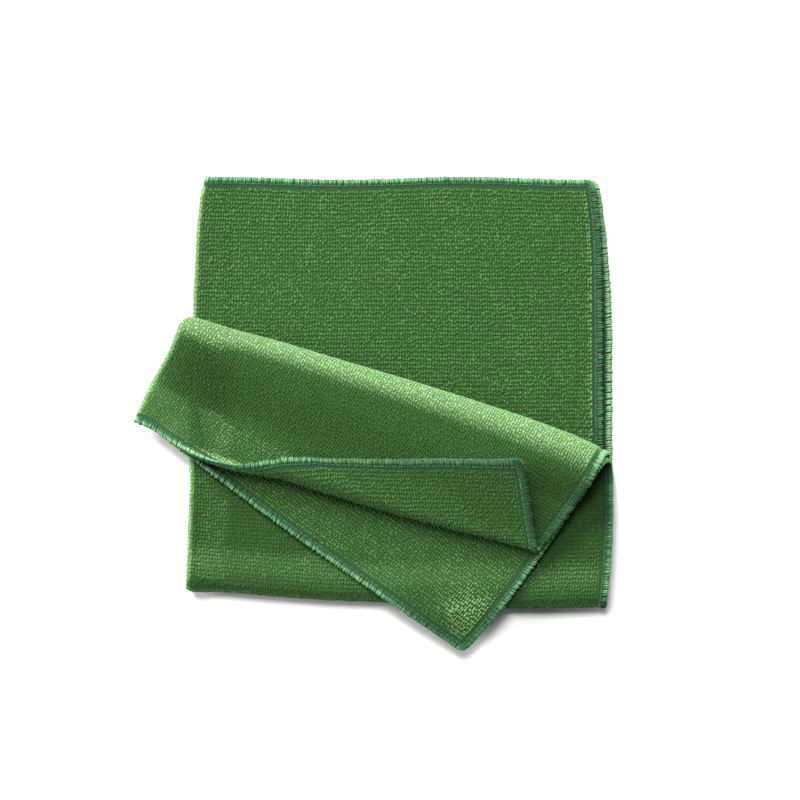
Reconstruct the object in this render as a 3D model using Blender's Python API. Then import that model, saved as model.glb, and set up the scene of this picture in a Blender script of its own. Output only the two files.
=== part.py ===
"""A square microfibre cloth, folded in four, with its two upper layers turned down.

The cloth is one thick sheet. It is drawn flat, cut along the lines where it will bend, and then each
of its points is carried through the folds in the order in which a hand makes them:

1. the left half goes over the right half, so the first fold lies at the left;
2. the doubled cloth is folded again, bottom half over top half, so the second fold lies at the front;
3. the two upper layers are rolled down over a loose ridge that widens to the right;
4. the corner of the outer one of them is turned back over a smaller ridge.

Layers are numbered from the table: 1, 2, 3, 4. Flat places (across, along) are measured from where
the middle of the folded pad will be, so layer 1 is flat from the start. Metres, +Z up, standing on z = 0.
"""
import bmesh
import bpy
import numpy as np

# The cloth
SIDE = 0.400              # cut and hemmed size, each way
THICK = 0.0022            # ground and the pile of both faces
STEP = 0.0027             # from one layer's middle to the next one's
PAD = SIDE / 2            # side of the cloth when folded in four
HALF = PAD / 2
FAR = HALF - SIDE         # the far edges of the flat cloth, as HALF is the near ones

# The two straight folds
BEND = 0.0021             # radius to the middle of the inner layer
SETTLE = 0.018            # the bulge beside a fold dies away over this
TURN = np.pi * (BEND + STEP / 2)   # length of cloth that the second fold takes up

# The folded pad is not a true square
LEAN = 0.050              # the left fold leans right by this much of its height
LEFT = -0.1001            # the left fold, halfway up
RIGHT = 0.1013            # the hemmed side at its fullest
TOP_DRAW = 0.0072         # how far the hem draws in at the back right corner
TOP_DRAW_FROM = 0.015
FRONT_DRAW = 0.0036       # and at the front right corner
FRONT_DRAW_FROM = -0.050

TOP_WAVE = 0.0007         # the back hem wanders by this much
TOP_WAVE_LENGTH = 0.115
TOP_WAVE_FROM = 0.055
SWELL = 0.0012            # air that the layers above the first one rise and fall on
SWELL_LENGTH = (0.130, 0.170)

# The roll of layers 3 and 4: a loose ridge across the pad
ROLL_ANGLE = np.radians(-17.5)
ROLL_OFFSET = 0.0052      # of the ridge from the pad's middle
ROLL_RADIUS = (0.0050, 0.0113)     # at its left and right ends
ROLL_FLAT = 0.75          # height over width of the roll
ROLL_DROP = (0.030, 0.066)         # over this length the flap comes down onto the pad
FLAP_STEP = 0.0040        # from layer 4 on the pad to layer 4 of the flap, which lies loosely
ROLL_LAG = 0.013          # how far layer 3 lags behind layer 4 at the right end
ROLL_EASE = 0.006         # slack along the ridge in layer 3 at the right end
ROLL_END = 0.105          # from the pad's middle to each end of the ridge
SAG = 0.009               # an end of the flap that passes the pad's edge drops by this
SAG_SIDE = 0.040          # over this distance at the left
SAG_FRONT = 0.034         # and this one at the front

# The turned-back corner of layer 3: its ridge, as laid on the pad before the roll
CORNER_FROM = np.array((-0.0227, 0.0854))
CORNER_TO = np.array((0.0986, 0.0409))
CORNER_RADIUS = (0.0042, 0.0024)
CORNER_LIFT = 0.0015      # the corner's tip stands off layer 3 by this much more
CORNER_RISE = 0.045       # over this distance from its ridge

# Mesh
CELL = 0.0200             # widest stretch of cloth between two cuts
BEND_CUTS = 6             # stretches of cloth in one bend
ROLL_CUTS = 8             # and in the roll's
SNAP = 0.0002             # cuts closer than this are made one


def smooth(t):
    """0 to 1 with level ends."""
    t = np.clip(t, 0.0, 1.0)
    return t * t * (3.0 - 2.0 * t)


def between(pair, t):
    return pair[0] + (pair[1] - pair[0]) * t


# ---------------------------------------------------------------- the folds

def over_left(across):
    """First fold: the place over the pad, the height, and the height of layer 2 there."""
    start = -HALF + BEND
    past = start - across
    turn = np.clip(past / BEND, 0.0, np.pi)
    beyond = np.clip(past - np.pi * BEND, 0.0, None)
    x = start + np.clip(-past, 0.0, None) - BEND * np.sin(turn) + beyond
    double = STEP + (2.0 * BEND - STEP) * (1.0 - smooth((x - start) / SETTLE))
    z = np.where(beyond > 0.0, double, BEND * (1.0 - np.cos(turn)))
    return x, z, double


def over_front(along, z, double):
    """Second fold: the place over the pad, the height, the height of layer 4 there, and if it is past."""
    start = -HALF + BEND + STEP
    past = start - along
    turn = np.pi * np.clip(past / TURN, 0.0, 1.0)
    beyond = np.clip(past - TURN, 0.0, None)
    axis = double + BEND
    closing = (2.0 * BEND - STEP) * smooth(beyond / SETTLE)
    y = start + np.clip(-past, 0.0, None) - (axis - z) * np.sin(turn) + beyond
    height = axis - (axis - z) * np.cos(turn) - closing
    return y, height, 2.0 * axis - closing, turn > np.pi / 2.0


def left_side(y):
    return LEFT + LEAN * y


def right_side(y):
    top = np.clip((y - TOP_DRAW_FROM) / (HALF - TOP_DRAW_FROM), 0.0, None)
    front = np.clip((FRONT_DRAW_FROM - y) / (HALF + FRONT_DRAW_FROM), 0.0, None)
    return RIGHT - TOP_DRAW * top ** 2 - FRONT_DRAW * front ** 2


def back_wave(x, y):
    """How far the back hem, and the cloth beside it, stray from a straight line."""
    return TOP_WAVE * np.sin(2.0 * np.pi * x / TOP_WAVE_LENGTH) * smooth((y - TOP_WAVE_FROM) / (HALF - TOP_WAVE_FROM))


def swell(x, y):
    """The slow rise and fall of the stacked layers, from 0 up."""
    u = 2.0 * np.pi * x / SWELL_LENGTH[0]
    v = 2.0 * np.pi * y / SWELL_LENGTH[1]
    return SWELL * (2.0 + np.sin(u + 0.7 * v + 1.0) + np.sin(v - 0.5 * u)) / 4.0


def pad_top(x, y):
    """Height of layer 4's middle over a place on the pad, less half a thickness."""
    start = left_side(y) + BEND
    double = STEP + (2.0 * BEND - STEP) * (1.0 - smooth((x - start) / SETTLE))
    closing = (2.0 * BEND - STEP) * smooth((y + HALF - BEND - STEP) / SETTLE)
    return 2.0 * (double + BEND) - closing


def along_roll(x, y):
    """A place as (along the ridge, past the ridge)."""
    c, s = np.cos(ROLL_ANGLE), np.sin(ROLL_ANGLE)
    return x * c + y * s, y * c - x * s - ROLL_OFFSET


def from_roll(q, s):
    c, n = np.cos(ROLL_ANGLE), np.sin(ROLL_ANGLE)
    return q * c - (s + ROLL_OFFSET) * n, q * n + (s + ROLL_OFFSET) * c


def end_share(q):
    """0 at the left end of the ridge and 1 at its right end."""
    return np.clip((q + ROLL_END) / (2.0 * ROLL_END), -0.15, 1.15)


def corner_axes():
    run = CORNER_TO - CORNER_FROM
    length = np.hypot(*run)
    run = run / length
    return run, np.array((-run[1], run[0])), length


def turn_corner(x, y, depth):
    """Fourth fold, made first because the roll then carries it: the corner goes under layer 3."""
    run, out, length = corner_axes()
    q = (x - CORNER_FROM[0]) * run[0] + (y - CORNER_FROM[1]) * run[1]
    s = (x - CORNER_FROM[0]) * out[0] + (y - CORNER_FROM[1]) * out[1]
    radius = between(CORNER_RADIUS, np.clip(q / length, -0.8, 1.2))
    reach = np.pi * radius / 2.0
    turn = np.pi * np.clip((s + reach) / (2.0 * reach), 0.0, 1.0)
    inside = np.where(s < -reach, s, np.where(s > reach, -s, radius * np.sin(turn) - reach))
    lift = CORNER_LIFT * smooth((s - reach) / CORNER_RISE) * np.clip(q / length, 0.0, 1.0)
    depth = depth - radius * (1.0 - np.cos(turn)) - lift
    return (CORNER_FROM[0] + q * run[0] + inside * out[0],
            CORNER_FROM[1] + q * run[1] + inside * out[1], depth)


def roll_down(x, y, top, depth):
    """Third fold: x, y and height of a point of layer 3 or 4; top is layer 4's height under it."""
    lower = np.clip(-depth / STEP, 0.0, 1.0)
    q, s = along_roll(x, y)
    share = end_share(q)
    reach = np.pi * between(ROLL_RADIUS, share) / 2.0
    lag = ROLL_LAG * np.clip(share, 0.0, 1.0) * lower
    turned = np.clip((s + reach) / (2.0 * reach + lag), 0.0, 1.0)
    s = s - lag * turned
    q = q + ROLL_EASE * np.clip((x + HALF) / PAD, 0.0, 1.0) * lower * turned
    x1, y1 = from_roll(q, s)
    x2, y2, deeper = turn_corner(x1, y1, depth)
    outer = (lower > 0.5) & (s > 0.0)
    q, s = along_roll(np.where(outer, x2, x1), np.where(outer, y2, y1))
    depth = np.where(outer, deeper, depth)

    share = end_share(q)
    radius = between(ROLL_RADIUS, share)
    reach = np.pi * radius / 2.0
    turn = np.pi * np.clip((s + reach) / (2.0 * reach), 0.0, 1.0)
    run = between(ROLL_DROP, share)
    crest = 2.0 * ROLL_FLAT * radius
    drop = crest - FLAP_STEP
    part = np.clip((s - reach) / run, 0.0, 1.0)
    flat = np.where(s > reach, 0.6 * drop ** 2 / run * smooth(part) - s, radius * np.sin(turn) - reach)
    flat = np.where(s < -reach, s, flat)
    rise = np.where(s > reach, crest - drop * smooth(part), crest * (1.0 - np.cos(turn)) / 2.0)
    slope = np.where(s > reach, drop * 6.0 * part * (1.0 - part) / run, 0.0)
    tangent = np.where(turn < np.pi, np.arctan2(ROLL_FLAT * np.sin(turn), np.cos(turn)), np.pi)
    tangent = tangent + np.arcsin(slope)
    x, y = from_roll(q, flat - depth * np.sin(tangent))
    base = top + (pad_top(x, y) - top) * turn / np.pi
    height = base + rise + depth * np.cos(tangent)
    side = np.clip(left_side(y) - x, 0.0, None)
    front = np.clip(-HALF - y, 0.0, None)
    sag = SAG * smooth(side / SAG_SIDE) + SAG * smooth(front / SAG_FRONT)
    return x, y, height - np.where(s > 0.0, sag, 0.0)


def fold(across, along):
    """Where a point of the flat cloth's middle surface ends up."""
    x, z, double = over_left(across)
    y, z, top, past = over_front(along, z, double)
    x = left_side(y) + (x + HALF) / PAD * (right_side(y) - left_side(y))
    rx, ry, rz = roll_down(x, y, top, z - top)
    x = np.where(past, rx, x)
    y = np.where(past, ry, y)
    z = np.where(past, rz, z)
    y = y + back_wave(x, y)
    z = z + swell(x, y) * np.clip(z / STEP, 0.0, 1.0)
    return np.stack((x, y, z + THICK / 2.0), -1)


def normals(across, along):
    """The middle surface's normal, up on layer 1, from places a little to each side."""
    d = 0.00005
    du = fold(across + d, along) - fold(across - d, along)
    dv = fold(across, along + d) - fold(across, along - d)
    n = np.cross(du, dv)
    return n / np.linalg.norm(n, axis=-1, keepdims=True)


# ---------------------------------------------------------------- the flat pattern

def straight_cuts():
    """Where the flat cloth is cut across, and along, for the two straight folds."""
    bend = np.pi * BEND
    across = spread(-HALF + BEND - bend, bend)
    along = spread(-HALF + BEND + STEP - TURN, TURN)
    return across, along


def spread(start, width):
    """Cuts through a bend, beside it where the bulge dies away, and evenly out to both hems."""
    cuts = [start + width * i / BEND_CUTS for i in range(BEND_CUTS + 1)]
    for side, edge, sign in ((start, FAR, -1.0), (start + width, HALF, 1.0)):
        cuts += [side + sign * SETTLE * t for t in (0.33, 0.67, 1.0)]
        room = abs(edge - side) - SETTLE
        count = int(np.ceil(room / CELL))
        cuts += [side + sign * (SETTLE + room * i / count) for i in range(1, count)]
    return sorted(cuts)


def flat_place(x, y):
    """Where on layer 4 of the flat cloth a place over the pad is."""
    x = (x - left_side(y)) / (right_side(y) - left_side(y)) * PAD - HALF
    return np.array((x, 2.0 * (BEND + STEP - HALF) - TURN - y))


def as_layer_3(place):
    """The same place on layer 3, which is the mirror image across the first fold."""
    return np.array((2.0 * (BEND - HALF) - np.pi * BEND - place[0], place[1]))


def roll_cuts(lag):
    """Lines of the roll: through the bend and down the flap, each as two places over the pad."""
    steps = [("bend", i / ROLL_CUTS) for i in range(ROLL_CUTS + 1)]
    steps += [("drop", t) for t in (0.25, 0.5, 0.75, 1.0)]
    lines = []
    for kind, t in steps:
        ends = []
        for share, q in ((0.0, -ROLL_END), (1.0, ROLL_END)):
            reach = np.pi * between(ROLL_RADIUS, share) / 2.0
            past = t * (2.0 * reach + lag * share) - reach
            if kind == "drop":
                past = reach + lag * share + t * between(ROLL_DROP, share)
            ends.append(np.array(from_roll(q, past)))
        lines.append(ends)
    return lines


def corner_cuts():
    """Lines of the turned-back corner's bend, moved back by the lag that the roll gives layer 3."""
    run, out, length = corner_axes()
    lines = []
    for i in range(BEND_CUTS + 1):
        ends = []
        for share in (0.0, 1.0):
            reach = np.pi * between(CORNER_RADIUS, share) / 2.0
            place = CORNER_FROM + run * length * share + out * reach * (2.0 * i / BEND_CUTS - 1.0)
            q, s = along_roll(*place)
            lag = ROLL_LAG * np.clip(end_share(q), 0.0, 1.0)
            ease = ROLL_EASE * (place[0] + HALF) / PAD
            ends.append(np.array(from_roll(q - ease, s + lag)))
        lines.append(ends)
    return lines


def cut(bm, first, second, wanted):
    """Cuts the wanted faces along the line through two flat places."""
    run = second - first
    faces = [f for f in bm.faces if wanted(f.calc_center_median())]
    geom = list({g for f in faces for g in (*f.verts, *f.edges)}) + faces
    bmesh.ops.bisect_plane(bm, geom=geom, dist=SNAP, plane_co=(*first, 0.0), plane_no=(-run[1], run[0], 0.0))


def flat_pattern():
    """The flat cloth, cut into facets along all its bends."""
    bm = bmesh.new()
    corners = [bm.verts.new((x, y, 0.0)) for x, y in ((FAR, FAR), (HALF, FAR), (HALF, HALF), (FAR, HALF))]
    bm.faces.new(corners)
    across, along = straight_cuts()
    for x in across:
        cut(bm, np.array((x, FAR)), np.array((x, HALF)), lambda c: True)
    for y in along:
        cut(bm, np.array((FAR, y)), np.array((HALF, y)), lambda c: True)
    for first, second in roll_cuts(0.0):
        cut(bm, flat_place(*first), flat_place(*second), lambda c: c.y < -HALF and c.x > -HALF)
    for first, second in roll_cuts(ROLL_LAG) + corner_cuts():
        ends = [as_layer_3(flat_place(*place)) for place in (first, second)]
        cut(bm, *ends, lambda c: c.y < -HALF and c.x < -HALF)
    bmesh.ops.remove_doubles(bm, verts=bm.verts, dist=SNAP / 2.0)
    bmesh.ops.triangulate(bm, faces=bm.faces, quad_method="BEAUTY", ngon_method="BEAUTY")
    bm.verts.index_update()
    return bm


# ---------------------------------------------------------------- the solid

def folded_cloth():
    """The solid: the flat pattern folded, with its upper and lower faces joined round the hem."""
    flat = flat_pattern()
    places = np.array([v.co[:] for v in flat.verts])
    middle = fold(places[:, 0], places[:, 1])
    half = normals(places[:, 0], places[:, 1]) * (THICK / 2.0)
    skins = np.stack((middle + half, middle - half))
    low, high = skins.reshape(-1, 3).min(0), skins.reshape(-1, 3).max(0)
    skins = skins - np.array(((low[0] + high[0]) / 2.0, (low[1] + high[1]) / 2.0, low[2]))
    solid = bmesh.new()
    upper = [solid.verts.new(p) for p in skins[0]]
    lower = [solid.verts.new(p) for p in skins[1]]
    for f in flat.faces:
        ring = [v.index for v in f.verts]
        if f.normal.z < 0.0:
            ring.reverse()
        solid.faces.new([upper[i] for i in ring])
        solid.faces.new([lower[i] for i in reversed(ring)])
    for e in flat.edges:
        if len(e.link_faces) == 1:
            a, b = (loop_start(e), loop_end(e))
            solid.faces.new((lower[a], lower[b], upper[b], upper[a]))
    flat.free()
    mesh = bpy.data.meshes.new("cloth")
    bmesh.ops.recalc_face_normals(solid, faces=solid.faces)
    bmesh.ops.triangulate(solid, faces=solid.faces)
    solid.to_mesh(mesh)
    solid.free()
    return mesh


def loop_start(edge):
    return edge.link_loops[0].vert.index


def loop_end(edge):
    return edge.link_loops[0].link_loop_next.vert.index


def green_microfibre():
    material = bpy.data.materials.new("green microfibre")
    material.use_nodes = True
    shader = material.node_tree.nodes["Principled BSDF"]
    shader.inputs["Base Color"].default_value = (0.060, 0.200, 0.045, 1.0)
    shader.inputs["Roughness"].default_value = 0.9
    shader.inputs["Metallic"].default_value = 0.0
    return material


def main():
    for old in list(bpy.data.objects):
        bpy.data.objects.remove(old)
    cloth = bpy.data.objects.new("cloth", folded_cloth())
    cloth.data.materials.append(green_microfibre())
    cloth.data.shade_smooth()
    cloth.data.set_sharp_from_angle(angle=np.radians(50.0))
    bpy.context.scene.collection.objects.link(cloth)
    print("cloth", len(cloth.data.polygons), "faces,", [round(d * 1000, 1) for d in cloth.dimensions], "mm")


main()
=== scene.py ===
# %% [markdown]
# # A microfibre cloth, folded in four
#
# This lesson builds the looks of one cleaning cloth: a 400 mm square of green terry knit whose edge is
# overlocked all round. It lies folded in four. Its two upper layers are rolled down over a loose ridge,
# and the corner of the outer one is turned back over a smaller ridge.
#
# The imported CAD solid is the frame. It stays where it is, and the pieces made here stand for it.

import bpy
import numpy as np
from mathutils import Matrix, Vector
from mathutils.bvhtree import BVHTree


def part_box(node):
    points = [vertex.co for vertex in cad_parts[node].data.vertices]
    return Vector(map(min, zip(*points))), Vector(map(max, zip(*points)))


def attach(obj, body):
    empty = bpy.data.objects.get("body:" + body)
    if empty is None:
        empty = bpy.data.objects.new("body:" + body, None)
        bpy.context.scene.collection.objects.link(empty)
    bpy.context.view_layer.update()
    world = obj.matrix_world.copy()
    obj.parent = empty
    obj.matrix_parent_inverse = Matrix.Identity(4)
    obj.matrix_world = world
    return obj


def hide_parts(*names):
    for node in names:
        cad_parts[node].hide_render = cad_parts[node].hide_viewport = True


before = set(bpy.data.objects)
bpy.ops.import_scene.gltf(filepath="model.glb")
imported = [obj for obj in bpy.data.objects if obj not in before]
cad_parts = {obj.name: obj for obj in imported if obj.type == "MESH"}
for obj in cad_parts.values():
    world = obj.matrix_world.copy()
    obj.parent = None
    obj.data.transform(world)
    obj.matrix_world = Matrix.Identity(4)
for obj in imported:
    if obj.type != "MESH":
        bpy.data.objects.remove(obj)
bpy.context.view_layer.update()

# %% [markdown]
# ## The cloth and its folds
#
# Cloth is easiest to think of flat. A point of the flat square has two coordinates, how far across and
# how far along it is, measured from the middle of the pad that the folded cloth makes. Each fold is a
# function that carries such points on, in the order in which a hand makes the folds. Because every
# visible thing on the cloth - loops of pile, stitches, seams - is placed through the same functions,
# the rows of the knit turn with the folds by themselves, as they do on the real cloth. A cloth
# simulation could fold it too, but it would not stop at these folds.
#
# Layers are numbered 1 to 4 from the table up. All sizes are in metres.

# %% Sizes of the cloth
SIDE = 0.400                       # cut and hemmed size, each way
THICK = 0.0022                     # ground and the pile of both faces
STEP = 0.0027                      # from one layer's middle to the next one's
PAD = SIDE / 2
HALF = PAD / 2
FAR = HALF - SIDE                  # the far edges of the flat cloth; HALF is the near ones
print("flat cloth runs from", round(FAR * 1000), "to", round(HALF * 1000), "mm each way")


# %% Soft steps
def smooth(t):
    """0 to 1 with level ends."""
    t = np.clip(t, 0.0, 1.0)
    return t * t * (3.0 - 2.0 * t)


def rise(t, start, run):
    """0 up to a start, and 1 from a run's length past it."""
    return smooth((t - start) / run)


def between(pair, t):
    return pair[0] + (pair[1] - pair[0]) * t


# %% [markdown]
# ## The two straight folds
#
# The first is at the left and the second at the front. Both are half circles with a slight bulge beside
# them, because a thick soft cloth never creases sharply. The second one has the two layers of the first
# in it, so its outer layer goes round a larger half circle.

# %% Straight folds
BEND = 0.0021                      # radius of the two straight folds, to the middle of the inner layer
SETTLE = 0.018                     # the bulge beside a fold dies away over this
TURN = np.pi * (BEND + STEP / 2)   # cloth that the second fold takes up


def doubled(x, start):
    """Height of the upper of two layers beside the first fold."""
    return STEP + (2.0 * BEND - STEP) * (1.0 - smooth((x - start) / SETTLE))


def over_left(across):
    """First fold: the place over the pad, the height, and the height of layer 2 there."""
    start = -HALF + BEND
    past = start - across
    turn = np.clip(past / BEND, 0.0, np.pi)
    beyond = np.clip(past - np.pi * BEND, 0.0, None)
    x = start + np.clip(-past, 0.0, None) - BEND * np.sin(turn) + beyond
    double = doubled(x, start)
    return x, np.where(beyond > 0.0, double, BEND * (1.0 - np.cos(turn))), double


def over_front(along, z, double):
    """Second fold: the place over the pad, the height, the height of layer 4 there, and if it is past."""
    start = -HALF + BEND + STEP
    past = start - along
    turn = np.pi * np.clip(past / TURN, 0.0, 1.0)
    beyond = np.clip(past - TURN, 0.0, None)
    axis = double + BEND
    closing = (2.0 * BEND - STEP) * smooth(beyond / SETTLE)
    y = start + np.clip(-past, 0.0, None) - (axis - z) * np.sin(turn) + beyond
    return y, axis - (axis - z) * np.cos(turn) - closing, 2.0 * axis - closing, turn > np.pi / 2.0


print("cloth taken up by the folds, mm:", np.round((np.pi * BEND * 1000, TURN * 1000), 1))

# %% [markdown]
# ## A pad that isn't quite square
#
# The left fold leans a little, the right side draws in towards both of its ends, the back hem waves,
# and the stacked layers hold some air that they rise and fall on.

# %% Sides, wave and swell
LEAN = 0.050                       # the left fold leans right by this much of its height
LEFT = -0.1001
RIGHT = 0.1013
TOP_DRAW, TOP_DRAW_FROM = 0.0072, 0.015
FRONT_DRAW, FRONT_DRAW_FROM = 0.0036, -0.050
TOP_WAVE, TOP_WAVE_LENGTH, TOP_WAVE_FROM = 0.0007, 0.115, 0.055
SWELL = 0.0012                     # air that the layers above the first one rise and fall on
SWELL_LENGTH = (0.130, 0.170)
SWELL_SKEW = (0.7, 0.5)            # neither of its two waves runs straight across
SWELL_START = 1.0


def left_side(y):
    return LEFT + LEAN * y


def right_side(y):
    top = np.clip((y - TOP_DRAW_FROM) / (HALF - TOP_DRAW_FROM), 0.0, None)
    front = np.clip((FRONT_DRAW_FROM - y) / (HALF + FRONT_DRAW_FROM), 0.0, None)
    return RIGHT - TOP_DRAW * top ** 2 - FRONT_DRAW * front ** 2


def back_wave(x, y):
    """How far the back hem, and the cloth beside it, stray from a straight line."""
    reach = smooth((y - TOP_WAVE_FROM) / (HALF - TOP_WAVE_FROM))
    return TOP_WAVE * np.sin(2.0 * np.pi * x / TOP_WAVE_LENGTH) * reach


def swell(x, y):
    """The slow rise and fall of the stacked layers, from 0 up."""
    u = 2.0 * np.pi * x / SWELL_LENGTH[0]
    v = 2.0 * np.pi * y / SWELL_LENGTH[1]
    return SWELL * (2.0 + np.sin(u + SWELL_SKEW[0] * v + SWELL_START) + np.sin(v - SWELL_SKEW[1] * u)) / 4.0


def pad_top(x, y):
    """Height of layer 4's middle over a place on the pad, less half a thickness."""
    double = doubled(x, left_side(y) + BEND)
    closing = (2.0 * BEND - STEP) * smooth((y + HALF - BEND - STEP) / SETTLE)
    return 2.0 * (double + BEND) - closing


print("pad, mm:", round((right_side(0.0) - left_side(0.0)) * 1000, 1), "wide at its middle")

# %% [markdown]
# ## The ridge
#
# Layers 3 and 4 are rolled down over a ridge that runs down to the right. It is a half ellipse that
# widens to the right, and the flap beyond it comes down onto the pad in a soft S. The ridge has its own
# directions: q runs along it and s across it. Cloth past the ridge, where s is positive, is turned over.

# %% Along and across the ridge
ROLL_ANGLE = np.radians(-17.5)
ROLL_OFFSET = 0.0052
ROLL_RADIUS = (0.0072, 0.0113)     # at its left and right ends
ROLL_FLAT = 0.75                   # height over width
ROLL_END = 0.105
ROLL_BEYOND = 0.15                 # it goes on widening past its ends for this share of its length


def along_roll(x, y):
    """A place as (along the ridge, past the ridge)."""
    c, s = np.cos(ROLL_ANGLE), np.sin(ROLL_ANGLE)
    return x * c + y * s, y * c - x * s - ROLL_OFFSET


def from_roll(q, s):
    c, n = np.cos(ROLL_ANGLE), np.sin(ROLL_ANGLE)
    return q * c - (s + ROLL_OFFSET) * n, q * n + (s + ROLL_OFFSET) * c


def end_share(q):
    """0 at the left end of the ridge and 1 at its right end."""
    return np.clip((q + ROLL_END) / (2.0 * ROLL_END), -ROLL_BEYOND, 1.0 + ROLL_BEYOND)


print("ridge height at its ends, mm:", np.round(np.array(ROLL_RADIUS) * 2000 * ROLL_FLAT, 1))

# %% [markdown]
# ## The turned-back corner
#
# The corner of layer 3 is folded under before the roll turns everything over, so on the finished cloth
# it lies on top. It is a round fold that gets tighter to the right. The corner stands off the cloth
# below it, and so does the small ridge that it turns over, because both are springy.

# %% The corner
CORNER_FROM = np.array((-0.0227, 0.0854))   # its ridge, as laid on the pad
CORNER_TO = np.array((0.0986, 0.0409))
CORNER_RADIUS = (0.0042, 0.0024)
CORNER_BEYOND = (-0.8, 1.2)        # its radius goes on changing between these shares of its length
CORNER_LIFT, CORNER_RISE = 0.0070, 0.045
RIDGE_LIFT, RIDGE_LIFT_RUN = 0.0035, 0.050  # the small ridge stands this far off the flap below it
RIDGE_LIFT_ENDS = (1.0, 0.3)       # less so at its right end
RIDGE_LIFT_START = 0.06            # and it starts this far before its left end


def along_corner(x, y):
    """A place as (along the corner's ridge, past it), with the ridge's length and direction."""
    run = CORNER_TO - CORNER_FROM
    length = np.hypot(*run)
    run = run / length
    q = (x - CORNER_FROM[0]) * run[0] + (y - CORNER_FROM[1]) * run[1]
    s = (x - CORNER_FROM[0]) * -run[1] + (y - CORNER_FROM[1]) * run[0]
    return q, s, length, run


def turn_corner(x, y, depth):
    """The corner goes under layer 3, before the roll turns it all over."""
    q, s, length, run = along_corner(x, y)
    radius = between(CORNER_RADIUS, np.clip(q / length, *CORNER_BEYOND))
    reach = np.pi * radius / 2.0
    turn = np.pi * np.clip((s + reach) / (2.0 * reach), 0.0, 1.0)
    inside = np.where(s < -reach, s, np.where(s > reach, -s, radius * np.sin(turn) - reach))
    lift = CORNER_LIFT * smooth((s - reach) / CORNER_RISE) * np.clip(q / length, 0.0, 1.0)
    depth = depth - radius * (1.0 - np.cos(turn)) - lift
    return (CORNER_FROM[0] + q * run[0] + inside * -run[1],
            CORNER_FROM[1] + q * run[1] + inside * run[0], depth)


def ridge_lift(x, y):
    """How far layer 3 stands off layer 4 towards the corner's ridge, and beyond it."""
    q, s, length, _ = along_corner(x, y)
    share = between(RIDGE_LIFT_ENDS, np.clip(q / length, 0.0, 1.0))
    near = smooth((s + RIDGE_LIFT_RUN) / RIDGE_LIFT_RUN)
    return RIDGE_LIFT * share * near * smooth((q + RIDGE_LIFT_START) / RIDGE_LIFT_START)


print("corner's ridge, mm:", round(float(np.hypot(*(CORNER_TO - CORNER_FROM))) * 1000, 1), "long")

# %% [markdown]
# ## Rolling the upper layers down
#
# A point keeps its depth below layer 4 all the way round, so layers never run into each other. Layer 3
# is on the outside of the roll and has further to go, so it lags behind. Where the flap passes the pad
# it sags towards the table, and its very tip curls up a little.

# %% The roll
ROLL_DROP = (0.030, 0.066)         # the flap comes down onto the pad over this length
ROLL_LAG = 0.013                   # layer 3 lags behind layer 4 by this at the right end
ROLL_EASE = 0.006                  # and has this much slack along the ridge
FLAP_STEP = 0.0029                 # from the pad up to the flap
FLAP_PRESS = 0.8                   # the flap's two layers are this share of a step apart
FORESHORTEN = 0.6                  # a slope covers less pad, by this times its height squared over its run
HEM_PRESS = 0.50                   # how far the flap's right hem is pressed down onto the pad
HEM_PRESS_ON = (0.050, 0.050)      # from here on, over this length
HEM_PRESS_SOON = 4.0               # it is down after one part in this many of the slope
SAG_SIDE, SAG_SIDE_RUN = 0.0095, 0.034      # the flap hangs down beside the pad, and in front of it
SAG_FRONT, SAG_FRONT_RUN = 0.0070, 0.030
SAG_LIFT, SAG_LIFT_FROM = 0.0030, 0.3       # and the tip curls up from this share of that run


def sag(x, y):
    """How far the flap hangs below the pad's top, past the pad's sides."""
    side = np.clip(left_side(y) - x, 0.0, None)
    front = np.clip(-HALF - y, 0.0, None)
    down = SAG_SIDE * smooth(side / SAG_SIDE_RUN) + SAG_FRONT * smooth(front / SAG_FRONT_RUN)
    return down - SAG_LIFT * smooth((front - SAG_FRONT_RUN * SAG_LIFT_FROM) / SAG_FRONT_RUN)


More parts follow.
